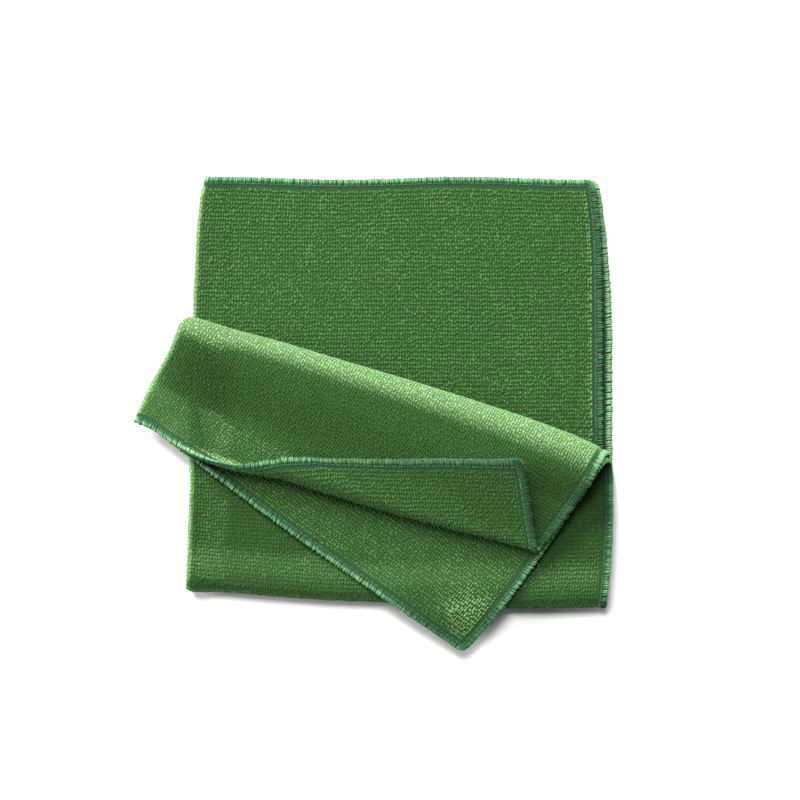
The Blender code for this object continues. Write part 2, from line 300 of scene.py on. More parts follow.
def roll_down(x, y, top, depth):
    """The roll: x, y and height of a point of layer 3 or 4; top is layer 4's height under it."""
    lower = np.clip(-depth / STEP, 0.0, 1.0)
    start_x = x
    q, s = along_roll(x, y)
    share = end_share(q)
    reach = np.pi * between(ROLL_RADIUS, share) / 2.0
    lag = ROLL_LAG * np.clip(share, 0.0, 1.0) * lower
    turned = np.clip((s + reach) / (2.0 * reach + lag), 0.0, 1.0)
    s = s - lag * turned
    q = q + ROLL_EASE * np.clip((x + HALF) / PAD, 0.0, 1.0) * lower * turned
    x1, y1 = from_roll(q, s)
    x2, y2, deeper = turn_corner(x1, y1, depth)
    outer = (lower > 0.5) & (s > 0.0)
    q, s = along_roll(np.where(outer, x2, x1), np.where(outer, y2, y1))
    depth = np.where(outer, deeper, depth)

    share = end_share(q)
    radius = between(ROLL_RADIUS, share)
    reach = np.pi * radius / 2.0
    turn = np.pi * np.clip((s + reach) / (2.0 * reach), 0.0, 1.0)
    run = between(ROLL_DROP, share)
    crest = 2.0 * ROLL_FLAT * radius
    drop = crest - FLAP_STEP
    part = np.clip((s - reach) / run, 0.0, 1.0)
    short = FORESHORTEN * drop ** 2 / run * smooth(part)
    flat = np.where(s > reach, short - s, radius * np.sin(turn) - reach)
    flat = np.where(s < -reach, s, flat)
    height = np.where(s > reach, crest - drop * smooth(part), crest * (1.0 - np.cos(turn)) / 2.0)
    pressed = HEM_PRESS * rise(start_x, *HEM_PRESS_ON) * smooth(part * HEM_PRESS_SOON)
    height = np.where(s > reach, FLAP_STEP + (height - FLAP_STEP) * (1.0 - pressed), height)
    slope = np.where(s > reach, drop * 6.0 * part * (1.0 - part) / run, 0.0)   # of the soft S
    tangent = np.where(turn < np.pi, np.arctan2(ROLL_FLAT * np.sin(turn), np.cos(turn)), np.pi)
    tangent = tangent + np.arcsin(slope)
    depth = depth * (1.0 - (1.0 - FLAP_PRESS) * turn / np.pi)
    x, y = from_roll(q, flat - depth * np.sin(tangent))
    base = top + (pad_top(x, y) - top) * turn / np.pi
    height = base + height + depth * np.cos(tangent) + np.where(outer, ridge_lift(x1, y1), 0.0)
    return x, y, height - np.where(s > 0.0, sag(x, y), 0.0)


# %% [markdown]
# ## How hands left it
#
# So far the folds are those of a careful machine. Here the cloth is drawn along its own surface by a
# few millimetres, where hands left an edge off the straight or a corner slack. Edges are lists of
# places with how far off they are there; corners are pulls, each with where it grips.

# %% Slack edges and corners
LEFT_EDGE = ((-0.100, -0.045, 0.000, 0.045, 0.075, 0.092, 0.102),
             (-0.0005, -0.0012, -0.0035, -0.0044, -0.0044, -0.0034, -0.0008))
FRONT_EDGE = ((-0.105, -0.094, -0.065, -0.036, 0.000, 0.052, 0.100),
              (0.0060, 0.0049, 0.0022, 0.0000, -0.0012, -0.0038, -0.0034))
RIGHT_EDGE = ((-0.100, 0.000, 0.040, 0.080), (-0.0002, -0.0006, -0.0004, 0.0))
RIDGE_BOW = ((0.00, 0.05, 0.20, 0.50, 0.80, 0.90, 0.96, 1.00),
             (0.0, 0.0002, 0.0019, 0.0034, 0.0039, 0.0034, 0.0022, 0.0))
RIDGE_BOW_RUN = 0.032
FLAP_HEM = ((0.00, 0.06, 0.15, 0.30, 0.50), (0.0012, 0.0040, 0.0032, 0.0015, 0.0))
CORNER_HEM = ((0.30, 0.42, 0.60, 0.80, 0.95, 1.00), (0.0, 0.0040, 0.0055, 0.0040, 0.0008, 0.0))

EDGE_REACH = 0.090                 # an edge's straying dies away over this
ON_RIGHT, ON_BACK = (0.040, 0.060), (-0.040, 0.140)   # where a grip starts, and its run
# On the flap, starts and runs are shares of the pad's width from its folds.
ON_FLAP = (0.45, 0.15)
ON_CORNER = ((0.55, 0.45), (0.55, 0.30))
ON_TIP = (0.45, 0.55)
ON_FLAP_HEM, ON_CORNER_HEM = (0.80, 0.20), (0.82, 0.18)
BELLY, BELLY_REACH = (0.60, 0.40), 0.35               # the slack beside the flap's left fold
RIDGE_LEFT, RIDGE_LEFT_REACH = (-0.101, 0.036), 0.013

CORNER_PULL = ((0.0030, 0.0052), (0.0030, 0.0032))    # right and back, each inside and at the hem
TIP_PULL = (0.0040, 0.0026)        # right and to the front
BELLY_PULL = (0.0040, 0.0010)      # left and back
RIDGE_LEFT_PULL = 0.0042           # left
BACK_PULL = 0.0045                 # back
SECOND_HEM_PULL = 0.0022           # layer 2's right hem lies this far inside layer 1's
SECOND_HEM_ACROSS, SECOND_HEM_TO, SECOND_HEM_RUN = (0.7, 0.3), 0.090, 0.060


def eased(across, along, x, y, past):
    """How far a point is drawn along the cloth's own surface."""
    a = (-HALF - across) / PAD
    b = (-HALF - along) / PAD
    flap = np.where(past, rise(b, *ON_FLAP), 0.0)
    corner = rise(a, *ON_CORNER[0]) * rise(b, *ON_CORNER[1]) * (a > 0.0)
    tip = smooth(-a) * rise(b, *ON_TIP)
    beside_fold = 1.0 - smooth(np.abs(a) / BELLY_REACH)
    belly = np.sin(np.pi * np.clip((b - BELLY[0]) / BELLY[1], 0.0, 1.0)) * beside_fold * flap
    off_end = (x - RIDGE_LEFT[0]) ** 2 + (y - RIDGE_LEFT[1]) ** 2
    end = np.exp(-off_end / RIDGE_LEFT_REACH ** 2) * flap
    left = np.interp(y, *LEFT_EDGE) * (1.0 - rise(x, -HALF, EDGE_REACH)) * (1.0 - flap)
    right = np.interp(y, *RIGHT_EDGE) * rise(x, *ON_RIGHT) * (1.0 - flap)
    front = np.interp(x, *FRONT_EDGE) * (1.0 - rise(y, -HALF, EDGE_REACH)) * (1.0 - flap)
    back = rise(y, *ON_BACK) * (1.0 - flap)
    at_hem = rise(b, *ON_FLAP_HEM)
    hem = np.interp(np.abs(a), *FLAP_HEM) * at_hem * flap
    hem = hem + np.interp(a, *CORNER_HEM) * rise(b, *ON_CORNER_HEM) * flap
    q, s = along_roll(x, y)
    bow = np.interp(end_share(q), *RIDGE_BOW) * smooth(1.0 + s / RIDGE_BOW_RUN) * past
    second = rise(a, *SECOND_HEM_ACROSS) * smooth((SECOND_HEM_TO - y) / SECOND_HEM_RUN) * (b < 0.0)

    dx = corner * between(CORNER_PULL[0], at_hem) + TIP_PULL[0] * tip - RIDGE_LEFT_PULL * end
    dx = dx - BELLY_PULL[0] * belly
    dx = dx + left + right - np.sin(ROLL_ANGLE) * bow
    dx = dx - SECOND_HEM_PULL * second
    dy = corner * between(CORNER_PULL[1], at_hem) - TIP_PULL[1] * tip + BELLY_PULL[1] * belly
    dy = dy + hem + front + BACK_PULL * back + np.cos(ROLL_ANGLE) * bow
    return dx, dy


# %% All folds in turn
def fold(across, along, hands=1.0):
    """Where a point of the flat cloth's middle surface ends up. Without hands it is the CAD shape's."""
    x, z, double = over_left(across)
    y, z, top, past = over_front(along, z, double)
    x = left_side(y) + (x + HALF) / PAD * (right_side(y) - left_side(y))
    rx, ry, rz = roll_down(x, y, top, z - top)
    x = np.where(past, rx, x)
    y = np.where(past, ry, y)
    z = np.where(past, rz, z)
    y = y + back_wave(x, y)
    z = z + swell(x, y) * np.clip(z / STEP, 0.0, 1.0)
    dx, dy = eased(across, along, x, y, past)
    x = x + hands * dx
    y = y + hands * dy
    return np.stack((x, y, z + THICK / 2.0), -1)


print("far corner of the cloth lies at, mm:", np.round(fold(np.array([FAR]), np.array([FAR]))[0] * 1000, 1))

# %% [markdown]
# ## Placing things on the cloth
#
# A real cloth has rounded corners, because the overlocker can't turn a sharp one. So the flat square is
# first mapped to one with round corners. The folded cloth is then moved to stand in the CAD box. From
# here on, `place` turns flat places and a height over the cloth's middle into points of the scene.

# %% Placing points of the cloth
CORNER_ROUND = 0.0040
PROBE = 0.00004                    # directions are measured over this far to each side
# painted highlight on faces turned to either side, as a share of that on faces turned to the back
PAINTED_SIDE_LIGHT = 0.7


def trim_corners(across, along):
    """The flat square, with its corners drawn in to quarter circles."""
    mid = (HALF + FAR) / 2.0
    inner = SIDE / 2.0 - CORNER_ROUND
    u, v = across - mid, along - mid
    s = np.clip((np.abs(u) - inner) / CORNER_ROUND, 0.0, None)
    t = np.clip((np.abs(v) - inner) / CORNER_ROUND, 0.0, None)
    s2 = s * np.sqrt(np.clip(1.0 - t * t / 2.0, 0.0, 1.0))
    t2 = t * np.sqrt(np.clip(1.0 - s * s / 2.0, 0.0, 1.0))
    u = np.sign(u) * np.where(s > 0.0, inner + CORNER_ROUND * s2, np.abs(u))
    v = np.sign(v) * np.where(t > 0.0, inner + CORNER_ROUND * t2, np.abs(v))
    return mid + u, mid + v


def surface(across, along, hands=1.0):
    """Points of the middle surface, its two directions, and its normal (up on layer 1)."""
    du = fold(across + PROBE, along, hands) - fold(across - PROBE, along, hands)
    dv = fold(across, along + PROBE, hands) - fold(across, along - PROBE, hands)
    du = du / np.linalg.norm(du, axis=-1, keepdims=True)
    dv = dv / np.linalg.norm(dv, axis=-1, keepdims=True)
    n = np.cross(du, dv)
    return fold(across, along, hands), du, dv, n / np.linalg.norm(n, axis=-1, keepdims=True)


def into_frame():
    """How far the folds' own origin is from the frame's, by the solid's box."""
    line = np.linspace(FAR, HALF, 401)
    u, v = np.meshgrid(line, line)
    middle, _, _, n = surface(u, v, hands=0.0)
    both = np.stack((middle + n * THICK / 2.0, middle - n * THICK / 2.0)).reshape(-1, 3)
    low, high = (np.array(corner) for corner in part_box("cloth"))
    print("folds less CAD box, mm:", np.round((np.ptp(both, axis=0) - (high - low)) * 1000.0, 2))
    shift = (low + high) / 2.0 - (both.min(0) + both.max(0)) / 2.0
    shift[2] = low[2] - both.min(0)[2]
    return shift


SHIFT = into_frame()


def place(across, along, height=0.0):
    """Points of the cloth in the frame, off its middle by a height, with directions and normal."""
    here, du, dv, n = surface(across, along)
    return here + SHIFT + n * np.asarray(height)[..., None], du, dv, n


def painted_light(n):
    """Painted light by the way a face is turned: painted highlight where it faces the back, and a little
    where it faces either side, towards the lights; painted shade where it faces the front."""
    return n[:, 1] + PAINTED_SIDE_LIGHT * np.abs(n[:, 0])


print("shift into the frame, mm:", np.round(SHIFT * 1000, 2))

# %% [markdown]
# ## Making meshes
#
# A cloth has too many points to add one at a time, so whole arrays are handed to Blender at once with
# `foreach_set`. A piece also carries UV maps, and numbers on its points that materials read.

# %% Mesh helpers
def new_piece(name, points, faces, sizes):
    """A mesh object from points and one flat list of corners, with the number of corners of each face."""
    mesh = bpy.data.meshes.new(name)
    mesh.vertices.add(len(points))
    mesh.vertices.foreach_set("co", np.asarray(points, np.float32).ravel())
    mesh.loops.add(len(faces))
    mesh.loops.foreach_set("vertex_index", np.asarray(faces, np.int32))
    mesh.polygons.add(len(sizes))
    mesh.polygons.foreach_set("loop_start", np.concatenate(([0], np.cumsum(sizes)[:-1])).astype(np.int32))
    mesh.update(calc_edges=True)
    mesh.validate()
    mesh.shade_smooth()
    piece = bpy.data.objects.new(name, mesh)
    bpy.context.scene.collection.objects.link(piece)
    return piece


def add_map(piece, name, places):
    """A UV map from one place for each vertex."""
    layer = piece.data.uv_layers.new(name=name, do_init=False)
    corner = np.empty(len(piece.data.loops), np.int32)
    piece.data.loops.foreach_get("vertex_index", corner)
    layer.uv.foreach_set("vector", np.asarray(places, np.float32)[corner].ravel())


def add_values(piece, name, values):
    """A number for each vertex, for the materials."""
    field = piece.data.attributes.new(name, "FLOAT", "POINT")
    field.data.foreach_set("value", np.asarray(values, np.float32))


def triangles(piece):
    piece.data.calc_loop_triangles()
    return len(piece.data.loop_triangles)


def flat_map(across, along):
    """Places on the flat cloth as 0 to 1."""
    return np.stack(((across - FAR) / SIDE, (along - FAR) / SIDE), -1)


# %% [markdown]
# ## The ground
#
# The ground is the knitted base that the pile stands on: one thin sheet of even thickness. It is a grid
# of the flat square, closer where the cloth bends, with an upper and a lower skin joined round the rim.
# Its main map is the flat cloth itself, so a pattern drawn on it stays in line with the knit. A second
# map lays the two skins side by side, for whoever wants to bake them.

# %% The ground sheet
GROUND = 0.0012                    # thickness of the knitted base
FINE, COARSE = 0.00175, 0.0024     # grid spacing where the cloth shows most, and elsewhere
BEND_ROWS = 14
BAKE_SIZE = np.array((0.49, 0.98))
BAKE_UPPER, BAKE_LOWER = (0.005, 0.01), (0.505, 0.01)


def grid_lines(bend_start, bend_width):
    """Grid lines of the flat cloth in one direction."""
    far = np.linspace(FAR, bend_start, int((bend_start - FAR) / FINE))
    bend = np.linspace(bend_start, bend_start + bend_width, BEND_ROWS + 1)
    near = np.linspace(bend_start + bend_width, HALF, int((HALF - bend_start - bend_width) / COARSE))
    return np.concatenate((far[:-1], bend, near[1:]))


def ground_sheet():
    across = grid_lines(-HALF + BEND - np.pi * BEND, np.pi * BEND)
    along = grid_lines(-HALF + BEND + STEP - TURN, TURN)
    rows, columns = len(along), len(across)
    u, v = (g.ravel() for g in np.meshgrid(across, along))
    u, v = trim_corners(u, v)
    upper, _, _, n = place(u, v, np.full_like(u, GROUND / 2))
    lower = place(u, v, np.full_like(u, -GROUND / 2))[0]
    index = np.arange(rows * columns).reshape(rows, columns)
    quads = np.stack((index[:-1, :-1], index[:-1, 1:], index[1:, 1:], index[1:, :-1]), -1).reshape(-1, 4)
    rim = np.concatenate((index[0, :-1], index[:-1, -1], index[-1, :0:-1], index[:0:-1, 0]))
    after = np.roll(rim, -1)
    below = rows * columns
    sides = np.stack((rim + below, after + below, after, rim), -1)
    faces = np.concatenate((quads, quads[:, ::-1] + below, sides))
    piece = new_piece("ground", np.concatenate((upper, lower)), faces.ravel(), np.full(len(faces), 4))
    flat = flat_map(u, v)
    add_map(piece, "cloth", np.concatenate((flat, flat)))
    add_map(piece, "OFBake", np.concatenate((flat * BAKE_SIZE + BAKE_UPPER, flat * BAKE_SIZE + BAKE_LOWER)))
    add_values(piece, "painted_light", np.concatenate((painted_light(n), painted_light(-n))))
    piece.data.uv_layers.active = piece.data.uv_layers["cloth"]
    return piece


ground = ground_sheet()
print("ground:", triangles(ground), "triangles")

# %% [markdown]
# ## The stitches that show
#
# Terry microfibre has rows of small loops on both faces. Each loop is knitted into its own stitch, so
# loops stand in straight lines: wales 1.30 mm apart across the cloth and courses 1.97 mm apart along
# it. Loops between two layers would never be seen, so they are left out. Which ones show is found by
# looking from each stitch towards the sky in a few directions, and asking if the cloth is in the way.

# %% Stitches that show
WALE, COURSE = 0.00130, 0.00197    # from one loop to the next, across and along
HEM_WIDTH = 0.0047                 # the overlock holds the pile down over this
STRAY = (0.00013, 0.00028)         # how far one stitch is off its place, across and along
SKY = [(0.0, 90.0)] + [(azimuth, 40.0) for azimuth in range(15, 360, 90)]
SKY += [(azimuth, 8.0) for azimuth in range(0, 360, 45)]
EYE_OFF = 0.0004                   # a look starts this far off the cloth
GRAZE = 0.05                       # and doesn't count when it only skims the face

draw = np.random.default_rng(7)


def wander(amount, a, length, b, other_length):
    """Rows of a knit are never quite straight."""
    return amount * np.sin(a / length + np.sin(b / other_length))


def stitches():
    """Every stitch of the flat cloth inside the hem, a little off its place."""
    across = np.arange(FAR + HEM_WIDTH + WALE / 2, HALF - HEM_WIDTH, WALE)
    along = np.arange(FAR + HEM_WIDTH + COURSE / 2, HALF - HEM_WIDTH, COURSE)
    u, v = (g.ravel() for g in np.meshgrid(across, along))
    u = u + draw.normal(0.0, STRAY[0], u.shape) + wander(0.00018, v, 0.0123, u, 0.031)
    v = v + draw.normal(0.0, STRAY[1], v.shape) + wander(0.00022, u, 0.0171, v, 0.043)
    return u, v


def towards(azimuth, elevation):
    """A direction, from degrees from the back to the right, and degrees up."""
    a, e = np.radians((azimuth, elevation))
    return np.array((np.sin(a) * np.cos(e), np.cos(a) * np.cos(e), np.sin(e)))


def seen(points, normals, tree):
    """For each point, if the sky shows from it over the cloth."""
    found = np.zeros(len(points), bool)
    starts = points + normals * EYE_OFF
    for azimuth, elevation in SKY:
        way = towards(azimuth, elevation)
        todo = np.flatnonzero(~found & (normals @ way > GRAZE))
        ray = Vector(way)
        for i in todo:
            if tree.ray_cast(starts[i], ray, SIDE)[0] is None:
                found[i] = True
    return found


ground.data.calc_loop_triangles()
tree = BVHTree.FromPolygons([v.co[:] for v in ground.data.vertices],
                            [p.vertices[:] for p in ground.data.polygons])
stitch_u, stitch_v = stitches()
skins = {}
for skin, sign in (("up", 1.0), ("down", -1.0)):
    at, du, dv, n = place(stitch_u, stitch_v, np.full_like(stitch_u, sign * GROUND / 2))
    skins[skin] = seen(at, n * sign, tree)
    print("stitches that show on the", skin, "face:", int(skins[skin].sum()), "of", len(stitch_u))

# %% [markdown]
# ## The shape of one loop
#
# A loop is a few strands of very fine yarn and looks like a small fuzzy bead. It is modelled once, as a
# dome of eighteen triangles: two rings of six points and a top. The number called "tip" is 0 where a
# loop leaves the ground and 1 at its top, so that the material can paint shade at its foot and a
# highlight towards its top.

# %% One loop
LOOP_SIDES = 6
RINGS = ((1.00, -0.15, 0.0), (0.74, 0.70, 0.38))      # width, height and tip value of each ring


def dome():
    """One loop: its points (across, along, up), faces and tip values."""
    points, tips = [], []
    for k, (wide, high, tip) in enumerate(RINGS):
        for i in range(LOOP_SIDES):
            angle = 2.0 * np.pi * (i + k / 2.0) / LOOP_SIDES
            points.append((wide * np.cos(angle), wide * np.sin(angle), high))
            tips.append(tip)
    points.append((0.0, 0.0, 1.0))
    tips.append(1.0)
    top = len(points) - 1
    faces = []
    for i in range(LOOP_SIDES):
        j = (i + 1) % LOOP_SIDES
        upper, next_upper = LOOP_SIDES + i, LOOP_SIDES + j
        faces += [(i, j, upper), (j, next_upper, upper), (upper, next_upper, top)]
    return np.array(points), np.array(faces), np.array(tips)


print("one loop:", len(dome()[1]), "triangles")

# %% [markdown]
# ## Painted light on the pile
#
# The pile is painted paler or darker by the way its face is turned to the lights. A few patches of
# painted highlight and painted shade are added by place. These marks are added to the number for the
# materials that carries the painted light.

# %% Painted highlight and shade on the pile
TIP_HIGHLIGHT_AT, TIP_HIGHLIGHT_SIZE = (0.010, 0.014), 0.024     # in from the hems at the flap's tip
RIM_WIDTH = 0.0030                 # beside layer 2's right hem
FLAP_BAND = (0.0, 0.010, 0.028, 0.020)                # from the flap's left fold: starts, in, ends, out
FRONT_BAND = (0.0, 0.012, 0.060, 0.040)               # the same for layer 4 in front of the ridge
# painted highlight at the flap's tip and by layer 2's right hem, painted shade on the two bands
TIP_HIGHLIGHT, RIM_HIGHLIGHT, FLAP_SHADE, FRONT_SHADE = 0.62, 0.30, 0.20, 0.14


def band(t, start, fade_in, end, fade_out):
    return rise(t, start, fade_in) * (1.0 - rise(t, end, fade_out))


def painted_patches(u, v):
    """Painted highlight at the flap's tip and beside layer 2's right hem, and painted shade on a band of
    the flap by its left fold and on one of layer 4 in front of the ridge.
    """
    tip = smooth(1.0 - np.hypot(HALF - TIP_HIGHLIGHT_AT[0] - u, v - FAR - TIP_HIGHLIGHT_AT[1]) / TIP_HIGHLIGHT_SIZE)
    rim = np.exp(-((u - FAR - HEM_WIDTH) / RIM_WIDTH) ** 2) * (v > -HALF)
    past_left = -HALF - u
    flap = band(past_left, *FLAP_BAND) * smooth((-0.250 - v) / 0.015)
    front = band(-past_left, *FRONT_BAND) * smooth((v + 0.170) / 0.020) * (v < -HALF)
    return TIP_HIGHLIGHT * tip + RIM_HIGHLIGHT * rim - FLAP_SHADE * flap - FRONT_SHADE * front


print("mark at the flap's tip:", round(float(painted_patches(HALF, FAR)), 2))

# %% [markdown]
# ## The pile
#
# The dome is set on every stitch that shows, one mesh for each layer. Every loop gets its own size,
# turn and lean, since yarn is never even, and a random number that its colour varies by.

# %% Loops of the pile
LOOP_HEIGHT, INSIDE_HEIGHT = 0.00038, 0.00034
LOOP_WIDTH, LOOP_LENGTH = 0.00056, 0.00094   # half sizes
INSIDE_SIZE = 0.94                           # the inside face has slightly smaller loops
LOOP_TURN, LOOP_GROW = 0.30, 0.18            # how much loops differ: in turn and in size,
LOOP_LEAN, LOOP_ROUGH = 0.22, 0.07           # and, in widths, in lean and from a true dome
PAINTED_LAYER_SHADE = {1: 0.0, 2: -0.03, 3: -0.32, 4: -0.42}   # painted shade for each layer's outside face, most on the flap's layers 3 and 4, which slope away from the back light
LAYER_SHADE_FADE = 0.15                            # the painted shade fades out where a face is turned this far towards the lights


def pile(name, u, v, sign, size=1.0, height=LOOP_HEIGHT, layer_shade=0.0):
    """Loops at those stitches on one face of the cloth, as one mesh."""
    points, faces, tips = dome()
    count = len(u)
    at, du, dv, n = place(u, v, np.full_like(u, sign * GROUND / 2))
    turn = draw.normal(0.0, LOOP_TURN, count)
    c, s = np.cos(turn), np.sin(turn)
    grow = np.exp(draw.normal(0.0, LOOP_GROW, (count, 3)))
    wide = LOOP_WIDTH * size * grow[:, 0]
    long = LOOP_LENGTH * size * grow[:, 1]
    high = height * grow[:, 2]
    lean = draw.normal(0.0, LOOP_LEAN, (count, 2)) * LOOP_WIDTH
    a = points[None, :, 0] * wide[:, None]
    b = points[None, :, 1] * long[:, None]
    up = points[None, :, 2]
    rough = draw.normal(0.0, LOOP_ROUGH, a.shape) * LOOP_WIDTH
    x = a * c[:, None] - b * s[:, None] + lean[:, :1] * up + rough
    y = a * s[:, None] + b * c[:, None] + lean[:, 1:] * up + rough[:, ::-1]
    z = up * high[:, None]
    where = (at[:, None] + du[:, None] * x[..., None] + dv[:, None] * y[..., None]
             + n[:, None] * (sign * z)[..., None])
    order = faces if sign > 0 else faces[:, ::-1]
    every = order[None] + (np.arange(count) * len(points))[:, None, None]
    piece = new_piece(name, where.reshape(-1, 3), every.ravel(), np.full(count * len(faces), 3))
    flat = flat_map(u[:, None] + x, v[:, None] + y).reshape(-1, 2)
    add_map(piece, "cloth", flat)
    add_map(piece, "OFBake", flat)
    add_values(piece, "tip", np.tile(tips, count))
    add_values(piece, "loop", np.repeat(draw.uniform(0.0, 1.0, count), len(points)))
    # painted light by the way the face is turned, with the layer's painted shade and the painted patches
    turned = painted_light(n * sign)
    turned = turned + layer_shade * (1.0 - smooth(turned / LAYER_SHADE_FADE)) + painted_patches(u, v)
    add_values(piece, "painted_light", np.repeat(turned, len(points)))
    piece.data.uv_layers.active = piece.data.uv_layers["cloth"]
    return piece


over = stitch_u < -HALF            # layers 2 and 3
past = stitch_v < -HALF            # layers 3 and 4
layer = np.where(past, np.where(over, 3, 4), np.where(over, 2, 1))
pile_pieces = []
for number, layer_shade in PAINTED_LAYER_SHADE.items():
    keep = skins["down"] & (layer == number)
    if keep.any():
        pile_pieces.append(pile("pile_outside_layer_%d" % number, stitch_u[keep], stitch_v[keep], -1.0,
                                layer_shade=layer_shade))
keep = skins["up"]
pile_pieces.append(pile("pile_inside", stitch_u[keep], stitch_v[keep], 1.0,
                        size=INSIDE_SIZE, height=INSIDE_HEIGHT))
for piece in pile_pieces:
    print(piece.name, triangles(piece), "triangles")

# %% [markdown]
# ## The way round the hem
#
# An overlock machine trims the edge and wraps it in thread as it goes. `edge_point` walks round the flat
# cloth as the machine does. Threads are tubes round lists of points; Blender's curves would do too, but
# these carry their own numbers.

# %% Round the edge
STRAIGHT = SIDE - 2.0 * CORNER_ROUND
ARC = np.pi * CORNER_ROUND / 2.0
HEM_LENGTH = 4.0 * (STRAIGHT + ARC)


def edge_point(s, inside):
    """A point of the flat cloth at a distance round the hem, some way in from the edge."""
    quarter = STRAIGHT + ARC
    k = np.floor(s / quarter)
    s = s - k * quarter
    run = np.clip(s, 0.0, STRAIGHT) - STRAIGHT / 2.0
    turn = np.clip(s - STRAIGHT, 0.0, ARC) / CORNER_ROUND
    radius = CORNER_ROUND - inside
    x = run + radius * np.sin(turn)
    y = -STRAIGHT / 2.0 - radius * np.cos(turn)
    side = (k % 4) * np.pi / 2.0
    mid = (HALF + FAR) / 2.0
    c, n = np.round(np.cos(side)), np.round(np.sin(side))
    return mid + x * c - y * n, mid + x * n + y * c


def strand(name, at, beside, radius, sides):
    """A closed tube through those points. beside is a direction at each point that isn't along it."""
    ahead = np.roll(at, -1, 0) - np.roll(at, 1, 0)
    ahead = ahead / np.linalg.norm(ahead, axis=1, keepdims=True)
    first = np.cross(beside, ahead)
    first = first / np.linalg.norm(first, axis=1, keepdims=True)
    second = np.cross(ahead, first)
    radius = np.broadcast_to(radius, len(at))
    angle = 2.0 * np.pi * np.arange(sides) / sides
    ring = (first[:, None] * np.cos(angle)[None, :, None] + second[:, None] * np.sin(angle)[None, :, None])
    points = at[:, None] + ring * radius[:, None, None]
    index = np.arange(len(at) * sides).reshape(len(at), sides)
    after = np.roll(index, -1, 0)
    quads = np.stack((index, np.roll(index, -1, 1), np.roll(after, -1, 1), after), -1).reshape(-1, 4)
    return new_piece(name, points.reshape(-1, 3), quads.ravel(), np.full(len(quads), 4))


print("once round the hem, mm:", round(HEM_LENGTH * 1000))

# %% [markdown]
# ## The looper thread
#
# The looper thread runs over the edge from one face to the other. It is a bulky, fluffy yarn in a
# slightly bluer green, so the stitches look like a row of small pads. It is made as one strand wound
# round the edge, three turns to a stitch that lie a little closer together than to the next stitch's.

# %% Thread round the edge
STITCH = 0.00306
TURNS = 3                          # of the looper thread to a stitch
MM = 0.001
# One turn round the edge, in mm: how far in, how high over the middle, how far along, and how thick.
WRAP = np.array(((2.60, 0.52, 0.00, 0.34), (1.75, 0.66, 0.16, 0.52), (0.80, 0.64, 0.34, 0.54),
                 (0.10, 0.44, 0.46, 0.42), (-0.05, 0.00, 0.50, 0.36), (0.10, -0.44, 0.54, 0.42),
                 (0.80, -0.64, 0.66, 0.54), (1.75, -0.66, 0.84, 0.52), (2.60, -0.52, 1.00, 0.34)))
WRAP_SLANT = 0.55                  # a turn comes round this share of the way to the next one
WRAP_PAIRING = 0.09                # how much closer, in turns, the turns of one stitch lie
WRAP_UNEVEN = (0.16, 0.00018, 0.05, 0.06)    # along in turns, in from the edge, in height, in thickness
# Painted light on the thread at each distance in, in mm: lightest on its back, painted shade where it
# dives.
WRAP_LIGHT = ((-0.05, 0.10, 0.80, 1.75, 2.60), (0.40, 0.75, 1.00, 0.42, 0.14))
WRAP_SIDES = 6
LOOK_AHEAD = 0.0002
SLACK_FROM, SLACK_RUN = -0.188, 0.030        # where the flap's own right hem comes down off the ridge, and gets painted shade


def hem_light_and_shade(u, v):
    """Painted light on the thread by where it lies: painted highlight on layer 1's right hem and the back
    hem, painted shade where it is tucked in, on the flap, and where the flap's hem comes down off the
    ridge.
    """
    lowest = smooth((u - HALF + 0.006) / 0.003) * smooth((v + HALF - 0.02) / 0.04)
    back = smooth((v - HALF + 0.006) / 0.003)
    tucked = (u < FAR + 0.005) & (v > -HALF)
    slack = (u < FAR + 0.005) * smooth((SLACK_FROM - v) / SLACK_RUN)
    return 0.70 * lowest + 0.12 * back - 0.40 * tucked - 0.10 * (v < -HALF) - 0.28 * slack


def looper_thread():
    turns = TURNS * round(HEM_LENGTH / STITCH)
    turn = np.repeat(np.arange(turns), len(WRAP))
    shape = np.tile(WRAP, (turns, 1))
    uneven = np.repeat(draw.normal(0.0, 1.0, (turns, 4)), len(WRAP), 0) * WRAP_UNEVEN
    pairing = (1 - turn % TURNS) * WRAP_PAIRING
    s = (turn + shape[:, 2] * WRAP_SLANT + pairing + uneven[:, 0]) * HEM_LENGTH / turns
    inside = shape[:, 0] * MM + uneven[:, 1]
    height = shape[:, 1] * MM * (1.0 + uneven[:, 2])
    u, v = edge_point(s, inside)
    at, _, _, n = place(u, v, height)
    beside = place(*edge_point(s + LOOK_AHEAD, inside), height)[0] - at
    radius = shape[:, 3] * MM * (1.0 + uneven[:, 3])
    piece = strand("hem_looper_thread", at, beside, radius, WRAP_SIDES)
    across = (inside + MM) / (4.0 * MM) * 0.5 + (height > 0) * 0.5      # each face has half of the map
    add_map(piece, "cloth", np.repeat(np.stack((s / HEM_LENGTH, across), -1), WRAP_SIDES, 0))
    add_values(piece, "loop", np.repeat(draw.uniform(-0.3, 1.3, turns), len(WRAP) * WRAP_SIDES))
    add_values(piece, "tip", np.repeat(np.interp(shape[:, 0], *WRAP_LIGHT), WRAP_SIDES))
    turned = painted_light(n * np.where(height < 0.0, -1.0, 1.0)[:, None]) + hem_light_and_shade(u, v)
    add_values(piece, "painted_light", np.repeat(turned, WRAP_SIDES))
    return piece


# %% [markdown]
# ## The needle threads
#
# A needle thread holds the looper thread down on each face. It dives through the cloth once a stitch,
# so seen from above it is a row of short arches.

# %% Needle threads
NEEDLE_IN = 0.0031
NEEDLE_RADIUS, NEEDLE_SIDES = 0.00028, 4
ARCH = ((0.0, 0.25, 0.6, 0.9), (0.35, 0.72, 0.74, 0.40))   # along the stitch, and how high in mm
# the needle threads get the painted shade of a loop's lower part
NEEDLE_TIP = 0.3


